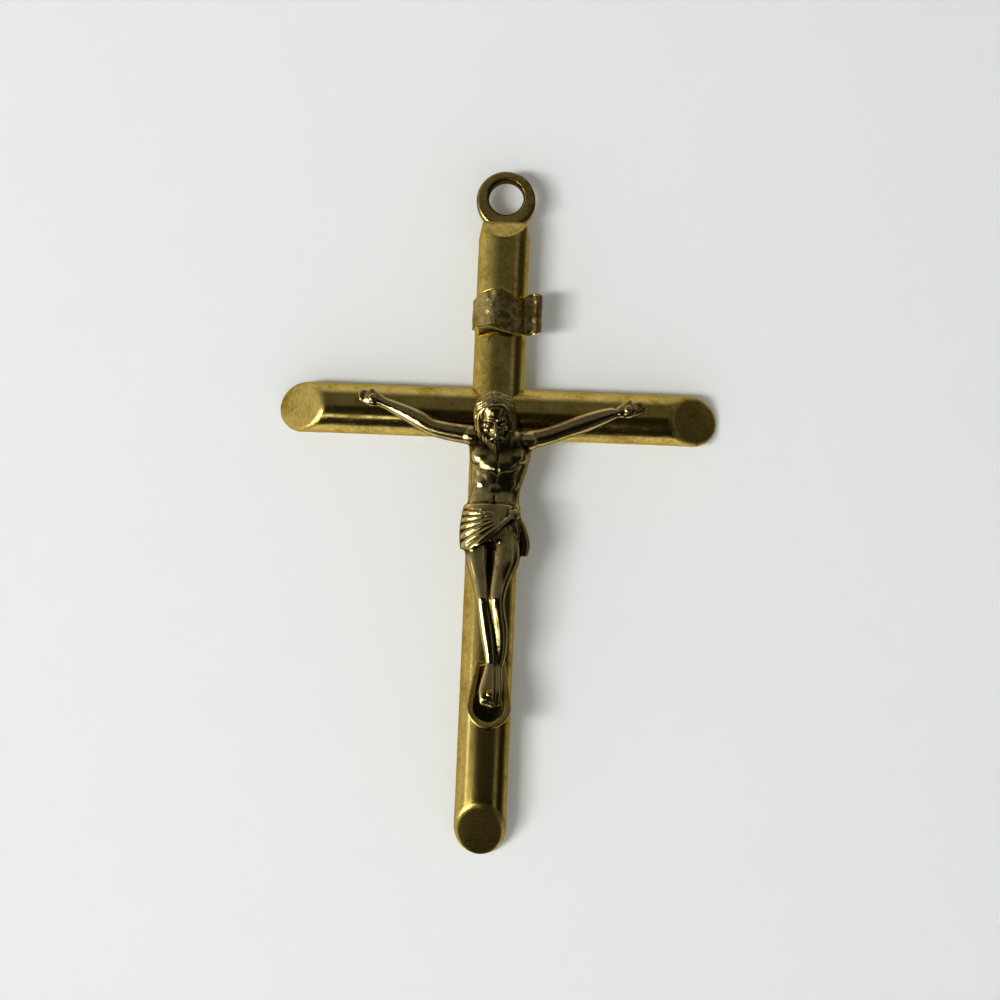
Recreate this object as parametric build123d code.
from build123d import *
import math
import os

# Hanging crucifix of round tube, in millimetres.
# The origin is the centre of the eye's hole, +Z is up along the shaft and the front faces -Y.

# Bars: a shaft, and two arms that are coped to it
UPRIGHT_DIAMETER = 3.4
UPRIGHT_WALL = 0.4
ARM_DIAMETER = 3.3
ARM_WALL = 0.4
CROSSING_DROP = 14.4  # eye's hole down to the axis of the arms
FOOT_FACET_DROP = 27.5  # axis of the arms down to where the foot's facet crosses the shaft's axis
ARM_FACET_REACH = 13.15  # axis of the shaft out to where an arm's facet crosses the arm's axis
MITRE_ANGLE = 45.0  # lean of each facet from square, towards the front

# Gaps that are filled with solder, and the room round whatever goes into a hole
SOLDER_GAP = 0.02
FIT_CLEARANCE = 0.03
CUT_OVERRUN = 1.0

# Caps that close the mitred ends, each with a plug in the tube's bore
CAP_THICKNESS = 0.6
CAP_EDGE_RADIUS = 0.26
CAP_PLUG_LENGTH = 0.9
CAP_EDGE_LIMIT_SHARE = 0.55  # most of the cap's thickness that its rounded edge may take

# Eye: a flat ring on a bevelled shoulder, with a stem in the top of the shaft
EYE_DIAMETER = 3.9
EYE_HOLE_DIAMETER = 2.3
EYE_HOLE_RISE = 0.2  # hole above the middle of the ring
EYE_THICKNESS = 1.4
EYE_EDGE_RADIUS = 0.22
EYE_EDGE_LIMIT_SHARE = 0.35  # most of the ring's width or thickness that one rounded edge may take
EYE_SEAT_DROP = 3.0  # eye's hole down to the square top of the shaft
SHOULDER_LAND = 0.15  # round band between the top of the shaft and the bevels
SHOULDER_BEVEL_ANGLE = 50.0
NECK_WIDTH = 2.85
STEM_LENGTH = 2.0

# Scroll: a bare ribbon bent round the shaft, with both ends curled forward and a peg at its back
SCROLL_DROP = 7.85  # eye's hole down to the middle of the scroll's panel
SCROLL_HEIGHT = 3.1
SCROLL_THICKNESS = 0.36
SCROLL_CROWN = 0.35  # how far the panel's upper and lower edges bow
SCROLL_LEFT_ANGLE = -54.0  # where the panel ends, round the shaft from its front
SCROLL_RIGHT_ANGLE = 47.0
LEFT_CURL_RADIUS = 0.36
RIGHT_CURL_RADIUS = 0.60
LEFT_CURL_TURN = 80.0  # degrees
RIGHT_CURL_TURN = 108.0
LEFT_CURL_HEIGHT = 1.25
RIGHT_CURL_HEIGHT = 2.7
LEFT_CURL_DROP = 1.2  # middle of the curled end below the middle of the panel
RIGHT_CURL_DROP = 0.3
SCROLL_PEG_DIAMETER = 0.9
SCROLL_PEG_REACH = 0.35  # how far the peg stands inside the shaft's bore

# Casting: head, with the hair as a larger form behind the face
HEAD_RISE = -0.8  # centre of the head above the axis of the arms
HEAD_SIDE = 0.05
HEAD_FORWARD = 1.25  # centre of the head in front of the shaft's face
HEAD_WIDTH = 2.35
HEAD_HEIGHT = 3.5
HEAD_TILT = 7.0  # sideways, with the crown to the left of the front view
HEAD_BOW = 20.0  # forward
HAIR_WIDTH = 2.95
HAIR_HEIGHT = 3.5
HAIR_LIFT_SHARE = 0.09
HAIR_BACK_SHARE = 0.14
BEARD_WIDTH = 1.5
BEARD_HEIGHT = 1.9
BEARD_DROP_SHARE = 0.34
BEARD_FORWARD_SHARE = 0.06
LOCK_DIAMETER = 0.95
LOCK_LENGTH = 2.6
LOCK_SPREAD = 1.12

# Casting: trunk, as ellipses from the neck down; each row gives drop, width and depth
NECK_DROP = 1.45
TRUNK_LENGTH = 6.6
CHEST_WIDTH = 4.05
CHEST_DEPTH = 2.3
TRUNK_FORWARD = 0.15  # middle of the trunk in front of the shaft's face
TRUNK_SIDE = 0.28
TRUNK_SHARES = (
    (0.00, 0.70, 0.50),
    (0.10, 0.95, 0.74),
    (0.28, 1.00, 1.00),
    (0.48, 0.88, 0.96),
    (0.70, 0.74, 0.72),
    (1.00, 0.84, 0.84),
)

# Casting: arms, from shoulder to wrist; each row gives place, sag and thickness
SHOULDER_SPREAD = 1.3
LEFT_SHOULDER_DROP = 1.6  # middle of the shoulder below the axis of the arms
RIGHT_SHOULDER_DROP = 1.85
LEFT_HAND_INSET = 5.0  # nail inward from where the facet crosses the arm's axis
RIGHT_HAND_INSET = 4.55
LEFT_HAND_RISE = 0.52  # nail above the axis of the arms
RIGHT_HAND_RISE = 0.38
ARM_SAG = 0.36
UPPER_ARM_DIAMETER = 1.35
LIMB_SINK_SHARE = 0.30  # how deep a hand beds into the bar behind it
ARM_SHARES = (
    (0.00, 0.00, 1.05),
    (0.20, 0.60, 0.93),
    (0.42, 0.75, 0.86),
    (0.60, 0.50, 0.82),
    (0.80, 0.00, 0.62),
)

# Casting: hands, from the nail to the fingertips; each row gives place, width and thickness
HAND_LENGTH = 0.95
HAND_WIDTH = 1.15
HAND_THICKNESS = 0.72
HAND_SHARES = (
    (0.00, 1.00, 1.00),
    (0.55, 0.86, 0.75),
    (1.00, 0.45, 0.42),
)

# Casting: loincloth, from waist to hem; each row gives drop, width and depth
WAIST_DROP = 6.35
CLOTH_LENGTH = 3.0
CLOTH_WIDTH = 4.2
CLOTH_SIDE = 0.12
CLOTH_DEPTH = 2.75
CLOTH_SHARES = (
    (0.00, 0.76, 0.74),
    (0.30, 0.90, 0.90),
    (0.65, 1.00, 1.00),
    (1.00, 0.96, 0.96),
)
CLOTH_TAIL_LENGTH = 3.2
CLOTH_TAIL_WIDTH = 0.9
CLOTH_TAIL_SIDE = 2.1
CLOTH_TAIL_SHARES = ((0.00, 0.75), (0.40, 1.00), (1.00, 0.85))
CLOTH_KNOT_DIAMETER = 1.15

# Casting: legs, from hip to ankle; each row gives drop, closing in, forward bend and thickness
HIP_DROP = 8.3
ANKLE_DROP = 16.7
LEFT_HIP_SIDE = -0.74
RIGHT_HIP_SIDE = 0.88
LEFT_ANKLE_SIDE = -0.06
RIGHT_ANKLE_SIDE = 0.66
KNEE_FORWARD = 1.05
LEG_FORWARD = 0.36  # hips and ankles in front of the shaft's face
THIGH_DIAMETER = 1.75
LEG_SHARES = (
    (0.00, 0.00, 0.15, 1.00),
    (0.20, 0.25, 0.55, 0.88),
    (0.38, 0.62, 0.95, 0.66),
    (0.50, 0.75, 1.00, 0.57),
    (0.64, 0.85, 0.85, 0.55),
    (0.82, 0.95, 0.50, 0.48),
    (1.00, 1.00, 0.20, 0.43),
)

# Casting: feet, from ankle to toes; each row gives place, width and thickness
FOOT_LENGTH = 2.9
FOOT_WIDTH = 1.02
FOOT_THICKNESS = 0.95
FOOT_FORWARD = 1.15  # toes in front of the shaft's face
LEFT_TOES_SIDE = 0.03
RIGHT_TOES_SIDE = 0.69
FOOT_SHARES = (
    (0.00, 0.72, 0.85),
    (0.35, 0.86, 1.00),
    (0.75, 1.00, 0.80),
    (1.00, 0.72, 0.45),
)

# Footrest: a rounded block on the shaft, below and behind the feet
FOOTREST_TOP_DROP = 16.3
FOOTREST_LENGTH = 4.45
FOOTREST_WIDTH = 2.9
FOOTREST_TOP_WIDTH = 1.9
FOOTREST_SIDE = 0.3
FOOTREST_TOP_DEPTH = 0.25  # front of the block from the shaft's face
FOOTREST_BOTTOM_DEPTH = 0.95
FOOTREST_WRAP = 0.9  # how far the block reaches back round the shaft, from the shaft's face
FOOTREST_EDGE_RADIUS = 0.25
FOOTREST_EDGE_LIMIT_SHARE = 0.3

# Nails: round pins with low domed heads
NAIL_DIAMETER = 0.36
NAIL_HEAD_DIAMETER = 0.6
NAIL_HEAD_HEIGHT = 0.2
NAIL_REACH = 0.5  # how far a nail stands inside the bore
FOOT_NAIL_SHARE = 0.62  # place of the nail along the feet
NAIL_SEAT_SHARE = 0.36  # depth of the flat under a nail's head, from the middle of the hand or foot

UPRIGHT_RADIUS = UPRIGHT_DIAMETER / 2
UPRIGHT_BORE_RADIUS = UPRIGHT_RADIUS - UPRIGHT_WALL
ARM_RADIUS = ARM_DIAMETER / 2
ARM_BORE_RADIUS = ARM_RADIUS - ARM_WALL

# Each bar has its own frame at the crossing, with Z out along the bar and the front at -Y
CROSSING = Vector(0, 0, -CROSSING_DROP)
UPRIGHT_FRAME = Plane(CROSSING, x_dir=(-1, 0, 0), z_dir=(0, 0, -1))
ARM_FRAMES = {
    "left": Plane(CROSSING, x_dir=(0, 0, 1), z_dir=(-1, 0, 0)),
    "right": Plane(CROSSING, x_dir=(0, 0, -1), z_dir=(1, 0, 0)),
}
SIDES = {"left": -1, "right": 1}
SHOULDER_DROPS = {"left": LEFT_SHOULDER_DROP, "right": RIGHT_SHOULDER_DROP}
HAND_INSETS = {"left": LEFT_HAND_INSET, "right": RIGHT_HAND_INSET}
HAND_RISES = {"left": LEFT_HAND_RISE, "right": RIGHT_HAND_RISE}
HIP_SIDES = {"left": LEFT_HIP_SIDE, "right": RIGHT_HIP_SIDE}
ANKLE_SIDES = {"left": LEFT_ANKLE_SIDE, "right": RIGHT_ANKLE_SIDE}
TOES_SIDES = {"left": LEFT_TOES_SIDE, "right": RIGHT_TOES_SIDE}
FROM_BASE = (Align.CENTER, Align.CENTER, Align.MIN)
SHAFT_TOP = EYE_SEAT_DROP - CROSSING_DROP  # in the shaft's own frame


def facet_plane(reach, depth):
    """Plane a depth below a mitred end's facet, in the bar's own frame."""
    lean = math.radians(MITRE_ANGLE)
    outward = Vector(0, -math.sin(lean), math.cos(lean))
    return Plane(Vector(0, 0, reach) - outward * depth, z_dir=outward)


def mitred_rod(radius, start, reach, depth):
    """Round rod along a bar's axis, cut off a depth below its facet."""
    overrun = radius * math.tan(math.radians(MITRE_ANGLE)) + CUT_OVERRUN
    rod = Pos(0, 0, start) * Cylinder(radius, reach - start + overrun, align=FROM_BASE)
    return split(rod, bisect_by=facet_plane(reach, depth), keep=Keep.BOTTOM)


def mitred_tube(radius, bore_radius, start, reach):
    """Tube whose mitred end stops where its cap begins."""
    tube = mitred_rod(radius, start, reach, CAP_THICKNESS)
    return tube - mitred_rod(bore_radius, start, reach, 0)


def end_cap(radius, bore_radius, reach):
    """Oval disc with a rounded rim, and a plug that fits the bore behind it."""
    seat = facet_plane(reach, CAP_THICKNESS)
    disc = split(mitred_rod(radius, 0, reach, 0), bisect_by=seat, keep=Keep.TOP)
    outward = Axis((0, 0, 0), facet_plane(reach, 0).z_dir)
    facet = disc.faces().filter_by(GeomType.PLANE).sort_by(outward)[-1]
    rim_radius = min(CAP_EDGE_RADIUS, CAP_THICKNESS * CAP_EDGE_LIMIT_SHARE)
    disc = fillet(facet.edges(), rim_radius)
    plug = mitred_rod(bore_radius - FIT_CLEARANCE, 0, reach, CAP_THICKNESS)
    plug_end = facet_plane(reach, CAP_THICKNESS + CAP_PLUG_LENGTH)
    return disc + split(plug, bisect_by=plug_end, keep=Keep.TOP)


def wedge(half_base, half_top, base, top, half_length):
    """Symmetrical trapezoid in XZ, extruded both ways along Y."""
    outline = Polyline((-half_base, base), (half_base, base), (half_top, top), (-half_top, top), close=True)
    return extrude(Plane.XZ * make_face(outline), half_length, both=True)


def hanging_eye():
    """Flat ring, its bevelled shoulder and the stem that goes into the shaft."""
    ring_radius = EYE_DIAMETER / 2
    hole_radius = EYE_HOLE_DIAMETER / 2
    ring = Pos(0, -EYE_HOLE_RISE) * Cylinder(ring_radius, EYE_THICKNESS) - Cylinder(hole_radius, EYE_THICKNESS)
    narrowest = min(ring_radius - hole_radius - EYE_HOLE_RISE, EYE_THICKNESS)
    edge_radius = min(EYE_EDGE_RADIUS, narrowest * EYE_EDGE_LIMIT_SHARE)
    ring = fillet(ring.edges().filter_by(GeomType.CIRCLE), edge_radius)
    ring = Rot(X=90) * ring

    half_plate = EYE_THICKNESS / 2
    bevel_base = SHOULDER_LAND - EYE_SEAT_DROP
    rise = (UPRIGHT_RADIUS - half_plate) * math.tan(math.radians(SHOULDER_BEVEL_ANGLE))
    top = bevel_base + rise
    shoulder = Pos(0, 0, -EYE_SEAT_DROP) * Cylinder(UPRIGHT_RADIUS, top + EYE_SEAT_DROP, align=FROM_BASE)
    sides = wedge(UPRIGHT_RADIUS, NECK_WIDTH / 2, bevel_base, top, UPRIGHT_DIAMETER)
    faces = Rot(Z=90) * wedge(UPRIGHT_RADIUS, half_plate, bevel_base, top, UPRIGHT_DIAMETER)
    land = Pos(0, 0, -EYE_SEAT_DROP) * Cylinder(UPRIGHT_RADIUS, SHOULDER_LAND, align=FROM_BASE)
    stem_radius = UPRIGHT_BORE_RADIUS - FIT_CLEARANCE
    stem = Pos(0, 0, -EYE_SEAT_DROP - STEM_LENGTH) * Cylinder(stem_radius, STEM_LENGTH, align=FROM_BASE)
    return ring + (shoulder & sides & faces) + land + stem


def ring_sector(centre, middle_radius, start_angle, turn, height, middle):
    """Upright curved plate: part of a ring of the scroll's thickness, round a centre in XY."""
    outer = CenterArc((0, 0), middle_radius + SCROLL_THICKNESS / 2, start_angle, turn)
    inner = CenterArc((0, 0), middle_radius - SCROLL_THICKNESS / 2, start_angle, turn)
    section = make_face([outer, Line(outer @ 1, inner @ 1), inner, Line(inner @ 0, outer @ 0)])
    return Pos(centre.X, centre.Y, middle - height / 2) * extrude(section, height)


def scroll_plaque():
    """Ribbon that hugs the shaft, with curled ends and a peg through the shaft's wall."""
    wrap_radius = UPRIGHT_RADIUS + SOLDER_GAP + SCROLL_THICKNESS / 2
    front = -90.0
    axis = Vector(0, 0, 0)
    wrap = SCROLL_RIGHT_ANGLE - SCROLL_LEFT_ANGLE
    panel = ring_sector(axis, wrap_radius, front + SCROLL_LEFT_ANGLE, wrap, SCROLL_HEIGHT, -SCROLL_DROP)
    half_width = wrap_radius + SCROLL_THICKNESS
    half_height = SCROLL_HEIGHT / 2
    lower_edge = ThreePointArc(
        (-half_width, SCROLL_CROWN - half_height), (0, -half_height), (half_width, SCROLL_CROWN - half_height)
    )
    upper_edge = ThreePointArc(
        (half_width, half_height - SCROLL_CROWN), (0, half_height), (-half_width, half_height - SCROLL_CROWN)
    )
    outline = make_face(
        [lower_edge, Line(lower_edge @ 1, upper_edge @ 0), upper_edge, Line(upper_edge @ 1, lower_edge @ 0)]
    )
    panel &= Pos(0, 0, -SCROLL_DROP) * extrude(Plane.XZ * outline, UPRIGHT_DIAMETER, both=True)

    curls = (
        (SCROLL_LEFT_ANGLE, LEFT_CURL_RADIUS, LEFT_CURL_TURN, LEFT_CURL_HEIGHT, LEFT_CURL_DROP),
        (SCROLL_RIGHT_ANGLE, RIGHT_CURL_RADIUS, RIGHT_CURL_TURN, RIGHT_CURL_HEIGHT, RIGHT_CURL_DROP),
    )
    for angle, radius, turn, height, drop in curls:
        heading = math.radians(front + angle)
        centre = Vector(math.cos(heading), math.sin(heading), 0) * (wrap_radius + radius)
        meeting = front + angle + 180.0
        start_angle = meeting if angle < 0 else meeting - turn
        panel += ring_sector(centre, radius, start_angle, turn, height, -SCROLL_DROP - drop)

    peg_length = UPRIGHT_WALL + SCROLL_PEG_REACH + SOLDER_GAP + SCROLL_THICKNESS / 2
    peg = Pos(0, -wrap_radius, -SCROLL_DROP) * Rot(X=-90) * Cylinder(
        SCROLL_PEG_DIAMETER / 2, peg_length, align=FROM_BASE
    )
    return panel + peg


def ellipse_at(centre, along, width, depth):
    """Ellipse square to a direction, with its width across the front view."""
    across = along.cross(Vector(0, 1, 0))
    return Plane(centre, x_dir=across, z_dir=along) * Ellipse(width / 2, depth / 2)


def limb(rows):
    """Loft along a limb, given rows of centre, width and depth."""
    sections = []
    for index, (centre, width, depth) in enumerate(rows):
        before = rows[max(index - 1, 0)][0]
        after = rows[min(index + 1, len(rows) - 1)][0]
        sections.append(ellipse_at(centre, (after - before).normalized(), width, depth))
    return loft(sections)


def spheroid(width, height):
    """Solid of revolution about Z with an elliptical outline."""
    outline = Ellipse(width / 2, height / 2) & Pos(width / 2, 0) * Rectangle(width, height)
    return revolve(Plane.XZ * outline, Axis.Z)


def figure_point(side, forward, rise):
    """Point given across, in front of the shaft's face, and above the axis of the arms."""
    return Vector(side, -UPRIGHT_RADIUS - forward, rise - CROSSING_DROP)


def figure_head():
    """Face, hair, beard and the two locks that fall on the shoulders."""
    place = Pos(*figure_point(HEAD_SIDE, HEAD_FORWARD, HEAD_RISE)) * Rot(Y=-HEAD_TILT) * Rot(X=HEAD_BOW)
    hair_back = HEAD_WIDTH * HAIR_BACK_SHARE
    hair = Pos(0, hair_back, HEAD_HEIGHT * HAIR_LIFT_SHARE) * spheroid(HAIR_WIDTH, HAIR_HEIGHT)
    beard_drop = HEAD_HEIGHT * BEARD_DROP_SHARE
    beard_forward = HEAD_WIDTH * BEARD_FORWARD_SHARE
    beard = Pos(0, -beard_forward, -beard_drop) * spheroid(BEARD_WIDTH, BEARD_HEIGHT)
    head = spheroid(HEAD_WIDTH, HEAD_HEIGHT) + hair + beard
    for side in SIDES.values():
        lock = spheroid(LOCK_DIAMETER, LOCK_LENGTH)
        head += Pos(side * LOCK_SPREAD, hair_back, -LOCK_LENGTH / 2) * lock
    return place * head


def figure_trunk():
    """Neck, shoulders, chest and belly in one form."""
    rows = []
    for drop, width, depth in TRUNK_SHARES:
        centre = figure_point(TRUNK_SIDE, TRUNK_FORWARD, -NECK_DROP - TRUNK_LENGTH * drop)
        rows.append((centre, CHEST_WIDTH * width, CHEST_DEPTH * depth))
    return limb(rows)


def hand_centre(side):
    """Middle of a hand at its nail, bedded on the front of the arm tube."""
    rise = HAND_RISES[side]
    bar_face = math.sqrt(ARM_RADIUS ** 2 - rise ** 2)
    forward = bar_face + HAND_THICKNESS * (1 / 2 - LIMB_SINK_SHARE)
    spread = ARM_FACET_REACH - HAND_INSETS[side]
    return Vector(SIDES[side] * spread, -forward, rise - CROSSING_DROP)


def figure_arm(side):
    """Arm from the shoulder, with the open hand at its end."""
    across = TRUNK_SIDE + SIDES[side] * SHOULDER_SPREAD
    shoulder = figure_point(across, TRUNK_FORWARD, -SHOULDER_DROPS[side])
    hand = hand_centre(side)
    rows = []
    for place, sag, thickness in ARM_SHARES:
        centre = shoulder + (hand - shoulder) * place - Vector(0, 0, ARM_SAG * sag)
        rows.append((centre, UPPER_ARM_DIAMETER * thickness, UPPER_ARM_DIAMETER * thickness))
    reach = (hand - rows[-1][0]).normalized()
    for place, width, thickness in HAND_SHARES:
        rows.append((hand + reach * (HAND_LENGTH * place), HAND_WIDTH * width, HAND_THICKNESS * thickness))
    return limb(rows)


def figure_cloth():
    """Loincloth with its knot and hanging tail at the right hip."""
    rows = []
    for drop, width, depth in CLOTH_SHARES:
        centre = figure_point(CLOTH_SIDE, TRUNK_FORWARD, -WAIST_DROP - CLOTH_LENGTH * drop)
        rows.append((centre, CLOTH_WIDTH * width, CLOTH_DEPTH * depth))
    tail = []
    for drop, width in CLOTH_TAIL_SHARES:
        centre = figure_point(CLOTH_TAIL_SIDE, TRUNK_FORWARD, -WAIST_DROP - CLOTH_TAIL_LENGTH * drop)
        tail.append((centre, CLOTH_TAIL_WIDTH * width, CLOTH_TAIL_WIDTH * width))
    knot_radius = CLOTH_KNOT_DIAMETER / 2
    knot_side = CLOTH_TAIL_SIDE - CLOTH_TAIL_WIDTH / 2
    knot_place = figure_point(knot_side, TRUNK_FORWARD + knot_radius, -WAIST_DROP - knot_radius)
    return limb(rows) + limb(tail) + Pos(*knot_place) * Sphere(knot_radius)


def leg_centre(side, drop, closing, bend):
    """Point on the middle line of a leg."""
    across = HIP_SIDES[side] + (ANKLE_SIDES[side] - HIP_SIDES[side]) * closing
    rise = -HIP_DROP - (ANKLE_DROP - HIP_DROP) * drop
    return figure_point(across, LEG_FORWARD + KNEE_FORWARD * bend, rise)


def foot_centre(side, place):
    """Point on the middle line of a foot, from the ankle to the toes."""
    ankle = leg_centre(side, *LEG_SHARES[-1][:3])
    toes = figure_point(TOES_SIDES[side], FOOT_FORWARD, -ANKLE_DROP - FOOT_LENGTH)
    return ankle + (toes - ankle) * place


def figure_leg(side):
    """Leg bent at the knee, and its foot."""
    leg = []
    for drop, closing, bend, thickness in LEG_SHARES:
        diameter = THIGH_DIAMETER * thickness
        leg.append((leg_centre(side, drop, closing, bend), diameter, diameter))
    foot = []
    for place, width, thickness in FOOT_SHARES:
        foot.append((foot_centre(side, place), FOOT_WIDTH * width, FOOT_THICKNESS * thickness))
    return limb(leg) + limb(foot)


def footrest():
    """Block with a rounded lower end, hollowed at the back to sit on the shaft."""
    half = FOOTREST_WIDTH / 2
    straight = FOOTREST_LENGTH - half
    outline = make_face(
        [
            Line((-FOOTREST_TOP_WIDTH / 2, 0), (-half, -straight)),
            ThreePointArc((-half, -straight), (0, -FOOTREST_LENGTH), (half, -straight)),
            Line((half, -straight), (FOOTREST_TOP_WIDTH / 2, 0)),
            Line((FOOTREST_TOP_WIDTH / 2, 0), (-FOOTREST_TOP_WIDTH / 2, 0)),
        ]
    )
    back = FOOTREST_WRAP - UPRIGHT_RADIUS
    block = Pos(0, back, 0) * extrude(Plane.XZ * outline, FOOTREST_WRAP + FOOTREST_BOTTOM_DEPTH)
    slope = Vector(0, FOOTREST_TOP_DEPTH - FOOTREST_BOTTOM_DEPTH, -FOOTREST_LENGTH)
    outward = slope.cross(Vector(1, 0, 0))
    face_plane = Plane((0, -UPRIGHT_RADIUS - FOOTREST_TOP_DEPTH, 0), x_dir=(1, 0, 0), z_dir=outward)
    block = split(block, bisect_by=face_plane, keep=Keep.BOTTOM)
    front = block.faces().sort_by(Axis(face_plane.origin, outward))[-1]
    rim = min(FOOTREST_EDGE_RADIUS, FOOTREST_BOTTOM_DEPTH * FOOTREST_EDGE_LIMIT_SHARE)
    block = fillet(front.edges(), rim)
    return Pos(FOOTREST_SIDE, 0, -CROSSING_DROP - FOOTREST_TOP_DROP) * block


def nail_frame(centre, thickness):
    """Frame of a nail: Z out to the front, with the flat under the head at zero."""
    seat = Vector(centre.X, centre.Y - thickness * NAIL_SEAT_SHARE, centre.Z)
    return Plane(seat, x_dir=(1, 0, 0), z_dir=(0, -1, 0))


def nail(frame, bore_radius, offset):
    """Pin that ends inside a bore, where its axis passes an offset from the bar's axis."""
    bore_face = math.sqrt(bore_radius ** 2 - offset ** 2)
    length = -frame.origin.Y - bore_face + NAIL_REACH
    shank = Pos(0, 0, -length) * Cylinder(NAIL_DIAMETER / 2, length, align=FROM_BASE)
    head_radius = NAIL_HEAD_DIAMETER / 2
    dome_radius = (head_radius ** 2 + NAIL_HEAD_HEIGHT ** 2) / (2 * NAIL_HEAD_HEIGHT)
    dome = Pos(0, 0, NAIL_HEAD_HEIGHT - dome_radius) * Sphere(dome_radius)
    head = Cylinder(head_radius, NAIL_HEAD_HEIGHT, align=FROM_BASE) & dome
    return frame * (shank + head)


def nail_room(frame):
    """Hole for a nail's pin, and the flat that is sunk for its head."""
    pin_radius = NAIL_DIAMETER / 2 + FIT_CLEARANCE
    length = -frame.origin.Y
    pin = Pos(0, 0, -length) * Cylinder(pin_radius, length, align=FROM_BASE)
    head = Cylinder(NAIL_HEAD_DIAMETER / 2 + FIT_CLEARANCE, UPRIGHT_DIAMETER, align=FROM_BASE)
    return frame * (pin + head)


def shaft_room():
    """Space of the shaft with its solder gap, for what sits on it."""
    length = FOOT_FACET_DROP - SHAFT_TOP
    rod = Pos(0, 0, SHAFT_TOP) * Cylinder(UPRIGHT_RADIUS + SOLDER_GAP, length, align=FROM_BASE)
    return UPRIGHT_FRAME * rod


def arms_room():
    """Space of both arm tubes with their solder gap."""
    rod = Cylinder(ARM_RADIUS + SOLDER_GAP, ARM_FACET_REACH * 2)
    return ARM_FRAMES["right"] * rod


shaft = shaft_room()
hand_nail_frames = {side: nail_frame(hand_centre(side), HAND_THICKNESS) for side in SIDES}
between_feet = (foot_centre("left", FOOT_NAIL_SHARE) + foot_centre("right", FOOT_NAIL_SHARE)) / 2
foot_nail_frame = nail_frame(between_feet, FOOT_THICKNESS)

parts = {}

upright = mitred_tube(UPRIGHT_RADIUS, UPRIGHT_BORE_RADIUS, SHAFT_TOP, FOOT_FACET_DROP)
peg_hole = Pos(0, 0, -SCROLL_DROP) * Rot(X=90) * Cylinder(
    SCROLL_PEG_DIAMETER / 2 + FIT_CLEARANCE, UPRIGHT_DIAMETER, align=FROM_BASE
)
parts["upright_tube"] = UPRIGHT_FRAME * upright - peg_hole - nail_room(foot_nail_frame)
parts["lower_end_cap"] = UPRIGHT_FRAME * end_cap(UPRIGHT_RADIUS, UPRIGHT_BORE_RADIUS, FOOT_FACET_DROP)

for side, frame in ARM_FRAMES.items():
    tube = frame * mitred_tube(ARM_RADIUS, ARM_BORE_RADIUS, 0, ARM_FACET_REACH)
    parts[side + "_arm_tube"] = tube - shaft - nail_room(hand_nail_frames[side])
    parts[side + "_end_cap"] = frame * end_cap(ARM_RADIUS, ARM_BORE_RADIUS, ARM_FACET_REACH)

parts["hanging_eye"] = hanging_eye()
parts["scroll_plaque"] = scroll_plaque()

rest = footrest()
parts["footrest"] = rest - shaft - nail_room(foot_nail_frame)

figure = figure_trunk() + figure_head() + figure_cloth()
for side in SIDES:
    figure += figure_arm(side) + figure_leg(side)
figure = figure - shaft - arms_room() - rest
for frame in [*hand_nail_frames.values(), foot_nail_frame]:
    figure -= nail_room(frame)
parts["corpus"] = figure

for side in SIDES:
    parts[side + "_hand_nail"] = nail(hand_nail_frames[side], ARM_BORE_RADIUS, HAND_RISES[side])
parts["foot_nail"] = nail(foot_nail_frame, UPRIGHT_BORE_RADIUS, between_feet.X)

os.makedirs("parts", exist_ok=True)
for name, solid in parts.items():
    export_step(solid, f"parts/{name}.step")
